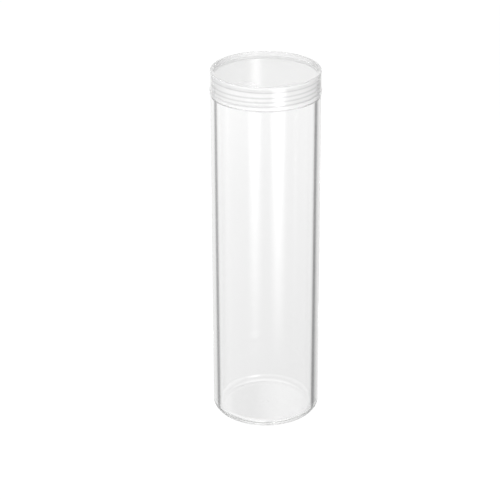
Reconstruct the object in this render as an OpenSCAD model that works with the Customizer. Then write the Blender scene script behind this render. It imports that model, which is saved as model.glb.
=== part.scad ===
// Clear round tube for a stack of coins, closed by a milky screw cap.
// The tube stands on Z = 0 with its axis along Z, and the cap is screwed home on it.
// The thread is right-handed: turned counter-clockwise from above, the cap rises one pitch a turn.

/* [Tube] */
// Outside diameter of the tube
tube_d = 31.6; // [24:0.2:50]
// Height of the closed tube, with its cap
overall_h = 108; // [60:1:160]
// Thickness of the wall at the mouth
wall_t = 1.7; // [1.4:0.1:2.6]
// How much less the bore's radius is at the floor, so that the moulding slips off its core
bore_draft = 0.2; // [0.05:0.05:0.4]
// Thickness of the floor
floor_t = 1.8; // [1:0.1:4]
// Radius of the corner round the base
base_round = 2.8; // [1:0.1:3.4]
// Radius of the corner between the bore and the floor
floor_round = 1.2; // [0.6:0.1:2]

/* [Neck and thread] */
// Thickness of the neck's wall under its thread
neck_wall_t = 0.75; // [0.6:0.05:0.9]
// Rise of the thread in one turn
thread_pitch = 1.3; // [1.1:0.05:1.6]
// Height of a thread ridge over the wall that carries it
thread_h = 0.35; // [0.25:0.05:0.45]
// Plain height of the neck between the shoulder and its thread
neck_plain_h = 0.75; // [0.4:0.05:1]
// Radial clearance between each thread ridge and the wall that it faces
thread_gap = 0.1; // [0.1:0.02:0.2]

/* [Cap] */
// Height of the cap
cap_h = 6.9; // [6.4:0.1:12]
// Thickness of the skirt under its thread
skirt_t = 0.65; // [0.5:0.05:1.2]
// Thickness of the cap's top
cap_top_t = 0.8; // [0.6:0.05:1]
// Width of the raised rim round the top
rim_w = 1; // [0.8:0.05:1.4]
// Depth of the top inside its rim
rim_h = 1.1; // [0.6:0.05:1.2]
// How far the bead along the lower edge stands out of the skirt
bead_out = 0.15; // [0.1:0.05:0.3]
// Height of the bead
bead_h = 1.3; // [0.8:0.05:1.8]
// Plain height inside the skirt, below its thread
skirt_plain_h = 0.6; // [0.4:0.05:1]
// Gap left between the cap's lower edge and the tube's shoulder
shoulder_gap = 0.15; // [0.1:0.05:0.3]

/* [Liner] */
// Thickness of the foam disc under the cap's top
liner_t = 0.5; // [0.4:0.05:0.8]
// Gap between the disc's edge and the skirt
liner_gap = 0.15; // [0.1:0.01:0.18]

/* [Hidden] */
$fn = 96;

// Small edge radii of the mouldings
shoulder_round = 0.3;
mouth_round = 0.2;
cap_edge_round = 0.35;
rim_edge_round = 0.25;
bead_round = 0.3;
skirt_lead_round = 0.25;

// Every cut runs past the face that it leaves by this much
cut = 1;

// Radii, from the bore outwards
tube_r = tube_d / 2;
mouth_r = tube_r - wall_t;
floor_r = mouth_r - bore_draft;
neck_r = mouth_r + neck_wall_t;
cap_bore_r = neck_r + thread_h + thread_gap;
cap_r = cap_bore_r + skirt_t;
bead_r = cap_r + bead_out;
liner_r = cap_bore_r - liner_gap;

// Heights, from the top downwards
cap_floor_z = overall_h - rim_h;
cap_under_z = cap_floor_z - cap_top_t;
mouth_z = cap_under_z - liner_t;
cap_low_z = overall_h - cap_h;
shoulder_z = cap_low_z - shoulder_gap;

// Thread form: half of a ridge's width at its root and at its crest, as shares of the pitch
root_half_share = 0.32;
crest_half_share = 0.09;
root_half = root_half_share * thread_pitch;
crest_half = crest_half_share * thread_pitch;
// How deep a ridge is sunk in the wall that carries it
thread_sink = 0.12;
// Steps of the ridge in a turn, and the share of a turn over which it rises at each end
turn_steps = 48;
runout_share = 0.125;
// Least distance from the neck's ridge to the rim, and from the cap's ridge to the foam disc
neck_lead = mouth_round;
liner_lead = 0.05;
// Where the cap's ridge ends, seen from above, so that its turns show level at the front
cap_thread_end_angle = 320;

neck_thread_low_z = shoulder_z + neck_plain_h + root_half;
neck_thread_top_z = mouth_z - neck_lead - root_half;
cap_thread_low_z = cap_low_z + skirt_plain_h + root_half;
cap_thread_top_z = mouth_z - liner_lead - root_half;
// The cap's ridge lies midway between two turns of the neck's
neck_thread_end_angle = cap_thread_end_angle + 180
    + 360 * (neck_thread_top_z - cap_thread_top_z) / thread_pitch;

// What an outside corner at the origin loses when it is rounded: the body is left of it and below
module corner_waste(r) {
    difference() {
        translate([-r, -r]) square(r + cut);
        translate([-r, -r]) circle(r);
    }
}

// Half the width of a thread ridge at a height d over its wall
function ridge_half(d) = root_half - (root_half - crest_half) * d / thread_h;

// The ridge's height along its length, which sinks under the wall at both ends
function ridge_top(turns_to_end) =
    let (rise = min(1, turns_to_end / runout_share))
    -thread_sink / 2 + (thread_h + thread_sink / 2) * rise * rise * (3 - 2 * rise);

// Corners of the ridge's section: side is 1 on the outside of a wall and -1 on the inside
function ridge_section(wall_r, side, angle, z, top) =
    let (reach = side < 0 ? 1 / cos(180 / turn_steps) : 1)
    [for (corner = [[-thread_sink, -1], [top, -1], [top, 1], [-thread_sink, 1]])
        let (r = (wall_r + side * corner[0]) * reach)
        [r * cos(angle), r * sin(angle), z + side * corner[1] * ridge_half(corner[0])]];

// One helical ridge round a wall, which climbs from low_z to top_z and ends at end_angle
module thread_ridge(wall_r, side, low_z, top_z, end_angle) {
    turns = (top_z - low_z) / thread_pitch;
    steps = ceil(turns * turn_steps);
    points = [for (i = [0:steps])
        let (at = turns * i / steps)
        each ridge_section(wall_r, side, end_angle - 360 * (turns - at),
            low_z + thread_pitch * at, ridge_top(min(at, turns - at)))];
    sides = [for (i = [0:steps - 1], k = [0:3])
        let (a = 4 * i + k, b = 4 * i + (k + 1) % 4)
        each [[a, b, b + 4], [a, b + 4, a + 4]]];
    ends = [[0, 3, 2], [0, 2, 1], [4 * steps, 4 * steps + 1, 4 * steps + 2],
        [4 * steps, 4 * steps + 2, 4 * steps + 3]];
    polyhedron(points, concat(sides, ends), convexity = 10);
}

// Half section of the tube's outside, with its base corner, shoulder and neck
module tube_outline() {
    difference() {
        union() {
            square([tube_r, shoulder_z]);
            square([neck_r, mouth_z]);
        }
        translate([tube_r, 0]) mirror([0, 1]) corner_waste(base_round);
        translate([tube_r, shoulder_z]) corner_waste(shoulder_round);
        translate([neck_r, mouth_z]) corner_waste(mouth_round);
    }
}

// Half section of the bore, which narrows to a rounded corner at the floor
module bore_outline() {
    difference() {
        polygon([[0, floor_t], [floor_r, floor_t], [floor_r, floor_t + floor_round],
            [mouth_r, mouth_z - mouth_round], [mouth_r, mouth_z + cut], [0, mouth_z + cut]]);
        translate([floor_r, floor_t]) mirror([0, 1]) corner_waste(floor_round);
    }
}

module tube() {
    color("aliceblue", 0.35)
    union() {
        rotate_extrude()
        difference() {
            tube_outline();
            bore_outline();
            // The inner edge of the mouth is rounded too
            translate([mouth_r, mouth_z]) mirror([1, 0]) corner_waste(mouth_round);
        }
        thread_ridge(neck_r, 1, neck_thread_low_z, neck_thread_top_z, neck_thread_end_angle);
    }
}

// Half section of the cap: skirt, bead, top and raised rim
module cap_outline() {
    difference() {
        translate([0, cap_low_z]) {
            square([cap_r, cap_h]);
            difference() {
                square([bead_r, bead_h]);
                translate([bead_r, bead_h]) corner_waste(bead_out);
            }
        }
        translate([bead_r, cap_low_z]) mirror([0, 1]) corner_waste(bead_round);
        translate([cap_r, overall_h]) corner_waste(cap_edge_round);
        // The top lies lower than its rim
        translate([0, cap_floor_z]) square([cap_r - rim_w, rim_h + cut]);
        translate([cap_r - rim_w, overall_h]) mirror([1, 0]) corner_waste(rim_edge_round);
        // The inside, with its lower edge eased for the neck
        translate([0, cap_low_z - cut]) square([cap_bore_r, cap_under_z - cap_low_z + cut]);
        translate([cap_bore_r, cap_low_z]) rotate(180) corner_waste(skirt_lead_round);
    }
}

module screw_cap() {
    color("whitesmoke", 0.7)
    union() {
        rotate_extrude() cap_outline();
        thread_ridge(cap_bore_r, -1, cap_thread_low_z, cap_thread_top_z, cap_thread_end_angle);
    }
}

module cap_liner() {
    color("white")
    translate([0, 0, mouth_z]) cylinder(h = liner_t, r = liner_r);
}

tube();
screw_cap();
cap_liner();
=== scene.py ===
"""A clear coin tube with a milky screw cap, lit on a white table."""
import math

import bmesh
import bpy
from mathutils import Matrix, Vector


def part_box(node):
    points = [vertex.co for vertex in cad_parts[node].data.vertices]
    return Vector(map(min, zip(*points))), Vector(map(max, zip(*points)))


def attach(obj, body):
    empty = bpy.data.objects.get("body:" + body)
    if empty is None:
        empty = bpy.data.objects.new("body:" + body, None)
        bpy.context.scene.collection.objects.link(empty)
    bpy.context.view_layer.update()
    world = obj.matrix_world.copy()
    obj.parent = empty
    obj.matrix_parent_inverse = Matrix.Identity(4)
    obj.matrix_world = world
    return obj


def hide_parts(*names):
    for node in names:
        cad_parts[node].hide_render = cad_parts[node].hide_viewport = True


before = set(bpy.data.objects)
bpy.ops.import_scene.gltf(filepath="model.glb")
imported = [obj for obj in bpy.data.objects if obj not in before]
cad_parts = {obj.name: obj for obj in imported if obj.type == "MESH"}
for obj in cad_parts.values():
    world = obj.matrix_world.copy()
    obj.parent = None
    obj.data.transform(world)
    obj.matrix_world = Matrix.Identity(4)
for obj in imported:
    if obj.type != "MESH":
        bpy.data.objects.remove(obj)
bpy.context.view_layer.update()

MM = 0.001

# Sizes taken from the CAD nodes
tube_low, tube_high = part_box("tube")
cap_low, cap_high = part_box("screw_cap")
liner_low, liner_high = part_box("cap_liner")
TUBE_R = (tube_high.x - tube_low.x) / 2
BEAD_R = min(cap_high.x, cap_high.y, -cap_low.x, -cap_low.y)
LINER_R = (liner_high.x - liner_low.x) / 2
MOUTH_Z = tube_high.z
CAP_LOW_Z = cap_low.z
CAP_UNDER_Z = liner_high.z
TOP_Z = cap_high.z
CENTRE = Vector((0, 0, TOP_Z / 2))

# Tube
WALL = 1.7 * MM
BORE_DRAFT = 0.2 * MM
FLOOR = 1.8 * MM
BASE_ROUND = 2.8 * MM
FLOOR_ROUND = 1.2 * MM
NECK_WALL = 0.75 * MM
SHOULDER_ROUND = 0.3 * MM
MOUTH_ROUND = 0.2 * MM
SHOULDER_FILLET = 0.12 * MM
MOUTH_R = TUBE_R - WALL
FLOOR_R = MOUTH_R - BORE_DRAFT
NECK_R = MOUTH_R + NECK_WALL
# The mark that the moulding's gate leaves in the middle of the base
GATE_R = 0.9 * MM
GATE_DEPTH = 0.12 * MM
GATE_STUB_R = 0.35 * MM
GATE_STUB = 0.07 * MM

# Cap
CAP_TOP = 0.8 * MM
RIM = 1.0 * MM
RIM_EDGE_ROUND = 0.25 * MM
CAP_EDGE_ROUND = 0.35 * MM
RECESS_FILLET = 0.2 * MM
SKIRT = 0.65 * MM
BEAD_OUT = 0.15 * MM
BEAD_HEIGHT = 1.3 * MM
BEAD_ROUND = 0.3 * MM
LEAD_ROUND = 0.25 * MM
SHOULDER_GAP = 0.15 * MM
CAP_R = BEAD_R - BEAD_OUT
CAP_BORE_R = CAP_R - SKIRT
RECESS_R = CAP_R - RIM
RECESS_Z = CAP_UNDER_Z + CAP_TOP
SHOULDER_Z = CAP_LOW_Z - SHOULDER_GAP

# Thread, right-handed
PITCH = 1.3 * MM
THREAD_HEIGHT = 0.35 * MM
ROOT_HALF = 0.32 * PITCH
CREST_HALF = 0.09 * PITCH
NECK_PLAIN = 0.75 * MM
SKIRT_PLAIN = 0.6 * MM
LINER_LEAD = 0.05 * MM
# Share of a turn over which a ridge rises at each of its ends
RUNOUT = 0.125
# Where the cap's ridge ends, in degrees seen from above
CAP_THREAD_END = 320
NECK_THREAD_LOW = SHOULDER_Z + NECK_PLAIN + ROOT_HALF
NECK_THREAD_TOP = MOUTH_Z - MOUTH_ROUND - ROOT_HALF
CAP_THREAD_LOW = CAP_LOW_Z + SKIRT_PLAIN + ROOT_HALF
CAP_THREAD_TOP = MOUTH_Z - LINER_LEAD - ROOT_HALF
NECK_THREAD_END = CAP_THREAD_END + 180 + 360 * (NECK_THREAD_TOP - CAP_THREAD_TOP) / PITCH

# Foam disc: the edges that its punch softened, and the air left at each of its faces
LINER_ROUND = 0.12 * MM
LINER_GAP = 0.02 * MM

# Fineness of the meshes
TURN_STEPS = 288
ARC_STEPS = 8
BASE_ARC_STEPS = 16
BEAD_ARC_STEPS = 6
SMALL_ARC_STEPS = 4
THREAD_ROW = 0.07 * MM
EDGE_ROW = 0.06 * MM
DISC_ROW = 2.0 * MM
MERGE = 0.0005 * MM
SHARP_ANGLE = math.radians(32)


class Wire:
    """An output socket of a shader tree, so that sums on it are written as plain expressions."""

    def __init__(self, look, socket):
        self.look = look
        self.socket = socket

    def math(self, operation, *values):
        inputs = dict(enumerate(values))
        return self.look.node("ShaderNodeMath", {"operation": operation}, inputs)["Value"]

    def __abs__(self):
        return self.math("ABSOLUTE", self)

    def __add__(self, other):
        return self.math("ADD", self, other)

    __radd__ = __add__

    def __sub__(self, other):
        return self.math("SUBTRACT", self, other)

    def __rsub__(self, other):
        return self.math("SUBTRACT", other, self)

    def __mul__(self, other):
        return self.math("MULTIPLY", self, other)

    __rmul__ = __mul__

    def __truediv__(self, other):
        return self.math("DIVIDE", self, other)


class Made:
    """A node just made, whose outputs are read by name."""

    def __init__(self, look, node):
        self.look = look
        self.node = node

    def __getitem__(self, name):
        return Wire(self.look, self.node.outputs[name])


class Look:
    """The node tree of a material or of the world, emptied."""

    def __init__(self, tree):
        self.tree = tree
        tree.nodes.clear()

    def node(self, kind, settings=None, inputs=None):
        """Makes a node: its settings first, then the values or links of its sockets."""
        made = self.tree.nodes.new(kind)
        for name, value in (settings or {}).items():
            setattr(made, name, value)
        for name, value in (inputs or {}).items():
            if isinstance(value, Wire):
                self.tree.links.new(value.socket, made.inputs[name])
            else:
                made.inputs[name].default_value = value
        return Made(self, made)

    def ramp(self, value, low, high, smooth=True):
        """0 below low and 1 above high, or the other way round where low is above high."""
        kind = "SMOOTHSTEP" if smooth else "LINEAR"
        inputs = {"Value": value, "From Min": low, "From Max": high}
        if low > high:
            inputs = {"Value": value, "From Min": high, "From Max": low, "To Min": 1.0, "To Max": 0.0}
        return self.node("ShaderNodeMapRange", {"interpolation_type": kind}, inputs)["Result"]

    def between(self, value, low, high, soft):
        """1 between low and high and 0 outside, with soft edges of that width centred on them."""
        rise = self.ramp(value, low - soft / 2, low + soft / 2)
        fall = self.ramp(value, high + soft / 2, high - soft / 2)
        return rise * fall

    def place(self):
        """Place on the object, in its own metres."""
        return self.node("ShaderNodeTexCoord")["Object"]

    def noise(self, scale, detail=2.0, stretch=(1, 1, 1), rough=0.5):
        """Noise on the object, drawn out where stretch is under 1."""
        inputs = {"Vector": self.place(), "Scale": stretch}
        drawn = self.node("ShaderNodeMapping", None, inputs)["Vector"]
        inputs = {"Vector": drawn, "Scale": scale, "Detail": detail, "Roughness": rough}
        return self.node("ShaderNodeTexNoise", None, inputs)["Fac"]

    def turned_away(self):
        """0 where the surface faces the eye and 1 along its outline."""
        return self.node("ShaderNodeLayerWeight", None, {"Blend": 0.5})["Facing"]

    def blend(self, share, first, second):
        """The first colour where share is 0, and the second where it is 1."""
        inputs = {"Factor": share, "A": first, "B": second}
        return self.node("ShaderNodeMix", {"data_type": "RGBA"}, inputs)["Result"]

    def bump(self, height, strength, distance):
        inputs = {"Strength": strength, "Distance": distance, "Height": height}
        return self.node("ShaderNodeBump", None, inputs)["Normal"]

    def glow(self, strength):
        """Even white light off a surface."""
        inputs = {"Color": grey(1), "Strength": strength}
        return self.node("ShaderNodeEmission", None, inputs)["Emission"]

    def matt(self, colour):
        return self.node("ShaderNodeBsdfDiffuse", None, {"Color": colour})["BSDF"]

    def clear(self, tint):
        return self.node("ShaderNodeBsdfTransparent", None, {"Color": tint})["BSDF"]

    def mix(self, share, first, second):
        """The first shader where share is 0, and the second where it is 1."""
        return self.node("ShaderNodeMixShader", None, {"Fac": share, 1: first, 2: second})["Shader"]

    def surface(self, shader):
        self.node("ShaderNodeOutputMaterial", None, {"Surface": shader})


def grey(value):
    return (value, value, value, 1)


def arc(centre_r, centre_z, radius, start, end, steps=ARC_STEPS):
    """Points of an arc in the half section, from one angle to another, in degrees from outwards."""
    angles = [math.radians(start + (end - start) * i / steps) for i in range(steps + 1)]
    return [(centre_r + radius * math.cos(a), centre_z + radius * math.sin(a)) for a in angles]


def even_shares(length, row):
    """Shares of a length that cut it into even rows of the size given, or a little under."""
    count = math.ceil(length / row)
    return [i / count for i in range(1, count)]


def straight(start, end, row=None):
    """Points inside a straight run, in rows of the size given, or else one close to each end.

    The points close to the ends keep the run's shading flat. A long run to the axis has wide rows too.
    """
    length = math.dist(start, end)
    edge = EDGE_ROW / length
    if row:
        shares = even_shares(length, row)
    elif length > DISC_ROW and start[0] == 0:
        shares = even_shares(length, DISC_ROW) + [1 - edge]
    elif length > DISC_ROW and end[0] == 0:
        shares = [edge] + even_shares(length, DISC_ROW)
    else:
        shares = [edge, 1 - edge]
    return [(start[0] + (end[0] - start[0]) * s, start[1] + (end[1] - start[1]) * s) for s in shares]


def joined(parts, threaded_run=None):
    """One outline from lists of points, joined by straight runs, one of which carries a thread."""
    outline = list(parts[0])
    for index, part in enumerate(parts[1:]):
        row = THREAD_ROW if index == threaded_run else None
        outline += straight(outline[-1], part[0], row) + list(part)
    return outline


def lathe(outline):
    """A closed bmesh turned about the Z axis from the half section's points, which end on the axis."""
    bm = bmesh.new()
    points = [bm.verts.new((r, 0, z)) for r, z in outline]
    lines = [bm.edges.new(pair) for pair in zip(points, points[1:])]
    bmesh.ops.spin(
        bm, geom=points + lines, cent=(0, 0, 0), axis=(0, 0, 1), dvec=(0, 0, 0),
        angle=math.tau, steps=TURN_STEPS, use_merge=True, use_duplicate=False,
    )
    bmesh.ops.remove_doubles(bm, verts=bm.verts, dist=MERGE)
    bmesh.ops.dissolve_degenerate(bm, edges=bm.edges, dist=MERGE)
    bmesh.ops.recalc_face_normals(bm, faces=bm.faces)
    return bm


def ridge_height(angle, z, low, top, end):
    """Height of a thread ridge at a place on its wall, with the angle in degrees."""
    turns = (top - low) / PITCH
    at = (turns - (end - angle) / 360) % 1
    height = 0
    while at <= turns:
        off = abs(z - low - PITCH * at)
        flank = min(1, max(0, (ROOT_HALF - off) / (ROOT_HALF - CREST_HALF)))
        rise = min(1, min(at, turns - at) / RUNOUT)
        height = max(height, THREAD_HEIGHT * flank ** 2 * (3 - 2 * flank) * rise ** 2 * (3 - 2 * rise))
        at += 1
    return height


def cut_thread(bm, wall_r, side, low, top, end):
    """Moves the wall at wall_r outwards, or inwards where side is -1, into a helical ridge."""
    for v in bm.verts:
        r = math.hypot(v.co.x, v.co.y)
        if abs(r - wall_r) < MERGE and low - ROOT_HALF < v.co.z < top + ROOT_HALF:
            angle = math.degrees(math.atan2(v.co.y, v.co.x))
            share = 1 + side * ridge_height(angle, v.co.z, low, top, end) / r
            v.co.x *= share
            v.co.y *= share


def piece(name, bm, node, body, material):
    """Turns a bmesh into a piece that rides on a body and stands for a CAD node."""
    mesh = bpy.data.meshes.new(name)
    bm.to_mesh(mesh)
    bm.free()
    mesh.shade_smooth()
    mesh.set_sharp_from_angle(angle=SHARP_ANGLE)
    mesh.materials.append(material)
    made = bpy.data.objects.new(name, mesh)
    bpy.context.scene.collection.objects.link(made)
    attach(made, body)
    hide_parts(node)
    return made


def tube_outline():
    """Half section of the tube, from the middle of the base round the outside and down the bore."""
    shoulder_corner = (NECK_R + SHOULDER_FILLET, SHOULDER_Z + SHOULDER_FILLET)
    return joined([
        [(0, GATE_DEPTH - GATE_STUB)],
        arc(GATE_STUB_R, GATE_DEPTH - GATE_STUB / 2, GATE_STUB / 2, -90, 0, SMALL_ARC_STEPS),
        [(GATE_STUB_R + GATE_STUB, GATE_DEPTH)],
        arc(GATE_R - GATE_DEPTH / 2, GATE_DEPTH / 2, GATE_DEPTH / 2, 90, 0, SMALL_ARC_STEPS),
        [(GATE_R + GATE_DEPTH / 2, 0)],
        arc(TUBE_R - BASE_ROUND, BASE_ROUND, BASE_ROUND, -90, 0, BASE_ARC_STEPS),
        arc(TUBE_R - SHOULDER_ROUND, SHOULDER_Z - SHOULDER_ROUND, SHOULDER_ROUND, 0, 90),
        arc(*shoulder_corner, SHOULDER_FILLET, -90, -180, SMALL_ARC_STEPS),
        arc(NECK_R - MOUTH_ROUND, MOUTH_Z - MOUTH_ROUND, MOUTH_ROUND, 0, 90),
        arc(MOUTH_R + MOUTH_ROUND, MOUTH_Z - MOUTH_ROUND, MOUTH_ROUND, 90, 180),
        arc(FLOOR_R - FLOOR_ROUND, FLOOR + FLOOR_ROUND, FLOOR_ROUND, 0, -90, BASE_ARC_STEPS),
        [(0, FLOOR)],
    ], threaded_run=7)


def make_tube(material):
    bm = lathe(tube_outline())
    cut_thread(bm, NECK_R, 1, NECK_THREAD_LOW, NECK_THREAD_TOP, NECK_THREAD_END)
    return piece("clear_tube", bm, "tube", "tube", material)


def cap_outline():
    """Half section of the cap, from the middle of its top over the rim, down the skirt and up inside."""
    bead_top = CAP_LOW_Z + BEAD_HEIGHT - BEAD_OUT
    return joined([
        [(0, RECESS_Z)],
        arc(RECESS_R - RECESS_FILLET, RECESS_Z + RECESS_FILLET, RECESS_FILLET, -90, 0),
        arc(RECESS_R + RIM_EDGE_ROUND, TOP_Z - RIM_EDGE_ROUND, RIM_EDGE_ROUND, 180, 90),
        arc(CAP_R - CAP_EDGE_ROUND, TOP_Z - CAP_EDGE_ROUND, CAP_EDGE_ROUND, 90, 0),
        arc(CAP_R, bead_top, BEAD_OUT, 90, 0, BEAD_ARC_STEPS),
        arc(BEAD_R - BEAD_ROUND, CAP_LOW_Z + BEAD_ROUND, BEAD_ROUND, 0, -90),
        arc(CAP_BORE_R + LEAD_ROUND, CAP_LOW_Z + LEAD_ROUND, LEAD_ROUND, -90, -180),
        [(CAP_BORE_R, CAP_UNDER_Z)],
        [(0, CAP_UNDER_Z)],
    ], threaded_run=6)


def make_cap(material):
    bm = lathe(cap_outline())
    cut_thread(bm, CAP_BORE_R, -1, CAP_THREAD_LOW, CAP_THREAD_TOP, CAP_THREAD_END)
    return piece("milky_cap", bm, "screw_cap", "screw_cap", material)


def make_liner(material):
    """The foam disc, with softened edges, a hair thinner than the room it has."""
    low = liner_low.z + LINER_GAP
    high = liner_high.z - LINER_GAP
    bm = lathe(joined([
        [(0, low)],
        arc(LINER_R - LINER_ROUND, low + LINER_ROUND, LINER_ROUND, -90, 0, SMALL_ARC_STEPS),
        arc(LINER_R - LINER_ROUND, high - LINER_ROUND, LINER_ROUND, 0, 90, SMALL_ARC_STEPS),
        [(0, high)],
    ]))
    return piece("foam_liner", bm, "cap_liner", "cap_liner", material)


def new_look(name):
    material = bpy.data.materials.new(name)
    material.use_nodes = True
    return material, Look(material.node_tree)


def let_lamps_through(look, shader, tint):
    """Ends a clear material: lamps and bounced light pass it straight, so that what is inside is lit."""
    path = look.node("ShaderNodeLightPath")
    passing = path["Is Shadow Ray"].math("MAXIMUM", path["Is Shadow Ray"], path["Is Diffuse Ray"])
    look.surface(look.mix(passing, shader, look.clear(tint)))


def from_axis(look):
    """Distance from the axis of the tube."""
    inputs = {0: look.place(), 1: (1, 1, 0)}
    level = look.node("ShaderNodeVectorMath", {"operation": "MULTIPLY"}, inputs)["Vector"]
    return look.node("ShaderNodeVectorMath", {"operation": "LENGTH"}, {0: level})["Value"]


def clear_plastic():
    """Clear moulded polystyrene: polished, with faint waves and rubs, and painted shade in a dark line
    along each edge.
    """
    material, look = new_look("clear_plastic")
    turned_away = look.turned_away()
    outside = look.ramp(from_axis(look), TUBE_R - 0.3 * MM, TUBE_R - 0.1 * MM)
    # Painted shade: the colour darkens as the wall turns away from the eye, most in a painted dark line
    # near the outline
    line = look.between(turned_away, 0.57, 0.665, 0.06)
    painted_edge_shade = (0.2 * look.ramp(turned_away, 0.55, 1.0) + 0.8 * line) * outside
    flow = look.noise(30, 1, (1, 1, 0.1))
    rubs = look.ramp(look.noise(260, 4, (1, 1, 0.5), 0.65), 0.58, 0.75)
    shader = look.node("ShaderNodeBsdfPrincipled", None, {
        "Base Color": look.blend(painted_edge_shade, grey(0.97), grey(0.03)),
        "Roughness": 0.01 + 0.02 * rubs,
        "IOR": 1.59,
        "Transmission Weight": 1.0,
        "Normal": look.bump(flow, 0.02, 1 * MM),
    })["BSDF"]
    let_lamps_through(look, shader, grey(0.94))
    return material


def milky_plastic():
    """Natural polypropylene: milky right through, with a smooth and slightly waxy face, and painted
    shade at its outline.
    """
    material, look = new_look("milky_plastic")
    cloud = look.noise(120, 3)
    grain = look.noise(2600, 2)
    # Painted shade: the colour darkens towards the outline as the surface turns away from the eye
    edge = look.ramp(look.turned_away(), 0.25, 0.95)
    density_and_painted_shade = 0.7 * edge + 0.12 * cloud + 0.62 * dense_turns_and_painted_rim_shade(look)
    shader = look.node("ShaderNodeBsdfPrincipled", None, {
        "Base Color": look.blend(density_and_painted_shade, grey(0.96), grey(0.7)),
        "Roughness": 0.12 + 0.03 * cloud,
        "IOR": 1.5,
        "Transmission Weight": 0.6,
        "Coat Weight": 1.0,
        "Coat Roughness": 0.15,
        "Normal": look.bump(grain, 0.006, 0.1 * MM),
    })["BSDF"]
    let_lamps_through(look, shader, grey(0.8))
    return material


def dense_turns_and_painted_rim_shade(look):
    """1 where the skirt is backed by more plastic, which shows as fine grey lines round it.

    These are the turns of the thread ridge and the edge of the cap's top. The rim's rounded top edge
    gets a part, as painted shade.
    """
    axes = look.node("ShaderNodeSeparateXYZ", None, {"Vector": look.place()})
    height = axes["Z"]
    angle = axes["X"].math("ARCTAN2", axes["Y"], axes["X"]) / math.tau
    turns = (height - CAP_THREAD_TOP) / PITCH + (CAP_THREAD_END / 360 - angle)
    off = turns.math("PINGPONG", turns, 0.5)
    threaded = look.between(height, CAP_THREAD_LOW - ROOT_HALF, CAP_THREAD_TOP + ROOT_HALF, 0.3 * MM)
    ridge = look.ramp(off, 0.3, 0.08) * threaded
    top_edge = look.between(height, RECESS_Z - 0.55 * MM, RECESS_Z - 0.2 * MM, 0.25 * MM)
    # Painted shade along the rounded top edge of the rim
    painted_rim_shade = look.ramp(height, TOP_Z - 0.3 * MM, TOP_Z - 0.1 * MM)
    outside = look.ramp(from_axis(look), CAP_R - 0.25 * MM, CAP_R - 0.1 * MM)
    front = 1 - look.node("ShaderNodeNewGeometry")["Backfacing"]
    return ridge + top_edge * outside * front + 0.4 * painted_rim_shade


def liner_foam():
    """White closed-cell foam: matt, with fine cells."""
    material, look = new_look("liner_foam")
    inputs = {"Vector": look.place(), "Scale": 3500}
    cells = look.node("ShaderNodeTexVoronoi", None, inputs)["Distance"]
    shader = look.node("ShaderNodeBsdfPrincipled", None, {
        "Base Color": look.blend(cells, (0.91, 0.91, 0.9, 1), (0.96, 0.96, 0.95, 1)),
        "Roughness": 0.85,
        "Normal": look.bump(cells, 0.3, 0.1 * MM),
    })["BSDF"]
    look.surface(shader)
    return material


# Camera, from the photograph: the width of its frame, and the pixel at which the tube's centre shows
FRAME_PX = 500
CENTRE_PX = (265.75, 242.3)
PX_PER_MM = 3.395
DISTANCE = 0.62
ELEVATION = math.radians(24.3)
SENSOR_MM = 36


def make_camera():
    camera = bpy.data.objects.new("camera", bpy.data.cameras.new("camera"))
    bpy.context.scene.collection.objects.link(camera)
    back = Vector((0, -math.cos(ELEVATION), math.sin(ELEVATION)))
    camera.location = CENTRE + back * DISTANCE
    camera.rotation_mode = "QUATERNION"
    camera.rotation_quaternion = (-back).to_track_quat("-Z", "Y")
    camera.data.sensor_width = SENSOR_MM
    camera.data.lens = SENSOR_MM * PX_PER_MM * DISTANCE / MM / FRAME_PX
    camera.data.shift_x = (FRAME_PX / 2 - CENTRE_PX[0]) / FRAME_PX
    camera.data.shift_y = (CENTRE_PX[1] - FRAME_PX / 2) / FRAME_PX
    camera.data.clip_start = 0.01
    camera.data.clip_end = 20
    bpy.context.scene.camera = camera


# Stage
TABLE_SIZE = 6.0
TABLE_GAP = 0.02 * MM
# Light on matt surfaces, from all round
AMBIENT = 0.78
# Light passes many clear walls, and runs along inside the tube's wall to its end
BOUNCES = 128
# Middle and half width of the tall soft light in front, in degrees round from straight behind the tube
SOFT_LIGHT_TURN = 153
SOFT_LIGHT_HALF = 22


def make_table():
    """A white table with the tube's shadow on it, which the clear plastic neither mirrors nor bends."""
    bm = bmesh.new()
    bmesh.ops.create_grid(bm, x_segments=1, y_segments=1, size=TABLE_SIZE / 2)
    bmesh.ops.translate(bm, verts=bm.verts, vec=(0, 0, -TABLE_GAP))
    mesh = bpy.data.meshes.new("table_top")
    bm.to_mesh(mesh)
    bm.free()
    table = bpy.data.objects.new("table_top", mesh)
    bpy.context.scene.collection.objects.link(table)
    material, look = new_look("table_white")
    path = look.node("ShaderNodeLightPath")
    from_below = look.node("ShaderNodeNewGeometry")["Backfacing"]
    inputs = {0: look.matt(grey(0.25)), 1: look.glow(0.8)}
    shown = look.node("ShaderNodeAddShader", None, inputs)["Shader"]
    top = look.mix(path["Is Camera Ray"], look.matt(grey(0.8)), shown)
    look.surface(look.mix(from_below, top, look.clear(grey(1))))
    mesh.materials.append(material)
    table.visible_glossy = False
    table.visible_transmission = False


def make_world():
    """White for the camera and even for matt surfaces. Glass and gloss see the studio."""
    world = bpy.data.worlds.new("studio")
    world.use_nodes = True
    bpy.context.scene.world = world
    look = Look(world.node_tree)
    path = look.node("ShaderNodeLightPath")
    shown = path["Is Camera Ray"]
    mirrored = path["Is Glossy Ray"].math("MAXIMUM", path["Is Glossy Ray"], path["Is Transmission Ray"])
    strength = shown + (1 - shown) * (mirrored * studio(look) + (1 - mirrored) * AMBIENT)
    inputs = {"Color": grey(1), "Strength": strength}
    background = look.node("ShaderNodeBackground", None, inputs)["Background"]
    look.node("ShaderNodeOutputWorld", None, {"Surface": background})


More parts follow.
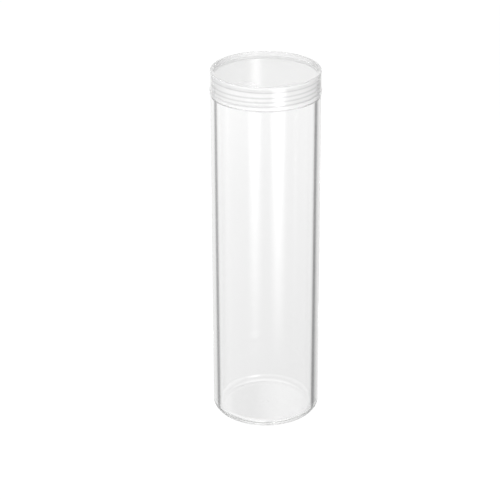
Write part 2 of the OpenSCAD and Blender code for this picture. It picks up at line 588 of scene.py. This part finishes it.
def studio(look):
    """Brightness of the studio all round: white, a little grey below, with tall soft lights.

    Places in it are in degrees. Turn is 0 straight behind the tube, 90 to its right, -90 to its left and
    180 in front. Rise is 0 level and 90 overhead.
    """
    way = look.node("ShaderNodeTexCoord")["Generated"]
    axes = look.node("ShaderNodeSeparateXYZ", None, {"Vector": way})
    turn = axes["X"].math("ARCTAN2", axes["X"], axes["Y"]) * (180 / math.pi)
    rise = axes["Z"].math("ARCSINE", axes["Z"]) * (180 / math.pi)

    below = look.ramp(rise, -18, -30, smooth=False)
    near_table = look.ramp(rise, -31, -42) * look.ramp(abs(turn), 95, 85)
    high_front = look.ramp(rise, 15, 30) * look.ramp(abs(turn), 85, 95)
    right_side = look.between(turn, -4, 128, 16)
    left_glow = look.between(turn, -60, -1, 10) * look.ramp(rise, -23.5, -19.5)
    tone = 1.05 - 0.17 * below + 0.16 * near_table + 0.05 * high_front
    tone = tone - 0.04 * right_side + 0.05 * left_glow

    right_back = look.between(turn, 25, 52, 14)
    left_back = look.between(turn, -52, -28, 14)
    high_back = 0.25 * look.between(turn, 1, 10, 3) - 0.35 * look.between(turn, -9, -1, 3)
    behind = look.between(turn, -60, 60, 30) * look.between(rise, 15, 28, 6)
    tone = tone - 0.35 * right_back - 0.2 * left_back
    tone = tone + look.ramp(rise, 17, 23) * high_back + 0.13 * behind

    overhead = look.ramp(rise, 62, 72)
    return tone + 0.5 * overhead + 3.3 * soft_band(look, turn, rise)


def soft_band(look, turn, rise):
    """A tall light with soft sides, in front and to the right, which fades out at both ends."""
    off = abs(turn - SOFT_LIGHT_TURN) / SOFT_LIGHT_HALF
    height = look.ramp(rise, -27.8, -20, smooth=False) * look.ramp(rise, 23, 14)
    return look.ramp(1 - off, 0, 1) * height


def make_strip(name, x, width, y, low, high, brightness):
    """A narrow upright light behind the tube, with soft sides, which gloss alone sees."""
    bm = bmesh.new()
    left = x - width / 2
    right = x + width / 2
    corners = [(left, y, low), (right, y, low), (right, y, high), (left, y, high)]
    bm.faces.new([bm.verts.new(corner) for corner in corners])
    mesh = bpy.data.meshes.new(name)
    bm.to_mesh(mesh)
    bm.free()
    strip = bpy.data.objects.new(name, mesh)
    bpy.context.scene.collection.objects.link(strip)
    material, look = new_look(name)
    across = look.node("ShaderNodeSeparateXYZ", None, {"Vector": look.place()})["X"] - x
    shine = look.ramp(abs(across), width / 2, width * 0.15)
    look.surface(look.glow(1 + (brightness - 1) * shine))
    mesh.materials.append(material)
    strip.visible_camera = False
    strip.visible_diffuse = False
    strip.visible_shadow = False
    strip.visible_transmission = False


def make_softbox(name, place, size, power):
    """A broad soft light that faces the middle of the tube."""
    lamp = bpy.data.lights.new(name, "AREA")
    lamp.shape = "RECTANGLE"
    lamp.size, lamp.size_y = size
    lamp.energy = power
    softbox = bpy.data.objects.new(name, lamp)
    bpy.context.scene.collection.objects.link(softbox)
    softbox.location = place
    softbox.rotation_mode = "QUATERNION"
    softbox.rotation_quaternion = (CENTRE - Vector(place)).to_track_quat("-Z", "Y")
    softbox.visible_camera = False
    softbox.visible_glossy = False
    softbox.visible_transmission = False


def set_bounces():
    cycles = bpy.context.scene.cycles
    cycles.max_bounces = BOUNCES
    cycles.glossy_bounces = BOUNCES
    cycles.transmission_bounces = BOUNCES
    cycles.transparent_max_bounces = BOUNCES


make_camera()
make_tube(clear_plastic())
make_cap(milky_plastic())
make_liner(liner_foam())
make_table()
make_world()
make_softbox("key_light", place=(-0.15, -0.75, 0.6), size=(0.6, 0.5), power=4.7)
make_strip(
    "strip_light", x=-3.3 * MM, width=4.6 * MM, y=100 * MM, low=130 * MM, high=160 * MM, brightness=1.75,
)
set_bounces()
bpy.context.scene.view_settings.view_transform = "Standard"
